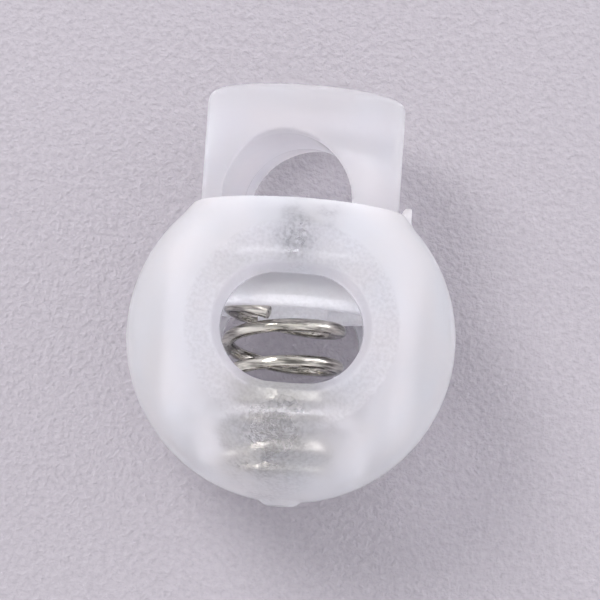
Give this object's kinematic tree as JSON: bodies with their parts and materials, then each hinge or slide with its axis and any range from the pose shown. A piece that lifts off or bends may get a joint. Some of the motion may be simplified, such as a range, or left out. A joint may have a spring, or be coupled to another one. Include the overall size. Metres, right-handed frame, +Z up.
{
  "type": "cord lock",
  "caption": "Ball-shaped spring cord lock: a frosted clear housing with an oval cord hole, a push-in plunger with a round cord hole, and the coil spring under it.",
  "frame": {"origin": "centre of the bounding box in plan, on the surface that the flat back of the ball lies on", "axes": "+Z up along the cord hole, out of the front face; +Y along the plunger's axis towards its button end; +X across the ball"},
  "size_m": [0.018, 0.0228, 0.014],
  "materials": {
    "housing_plastic": "frosted translucent",
    "plunger_plastic": "frosted translucent",
    "spring_steel": "drawn wire"
  },
  "bodies": {
    "housing": {"ball_housing": "housing_plastic"},
    "spring": {"compression_spring": "spring_steel"},
    "plunger": {"plunger": "plunger_plastic"}
  },
  "joints": [
    {"name": "plunger_turn", "type": "hinge", "parent": "housing", "child": "spring", "pos_m": [0, -0.00222, 0.007], "axis": [0, 1, 0], "continuous": true},
    {"name": "plunger_press", "type": "slide", "parent": "spring", "child": "plunger", "axis": [0, -1, 0], "range_m": [0, 0.0052], "stiffness_N_per_m": 2600, "springref_m": -0.002, "deforming": ["compression_spring"]}
  ]
}
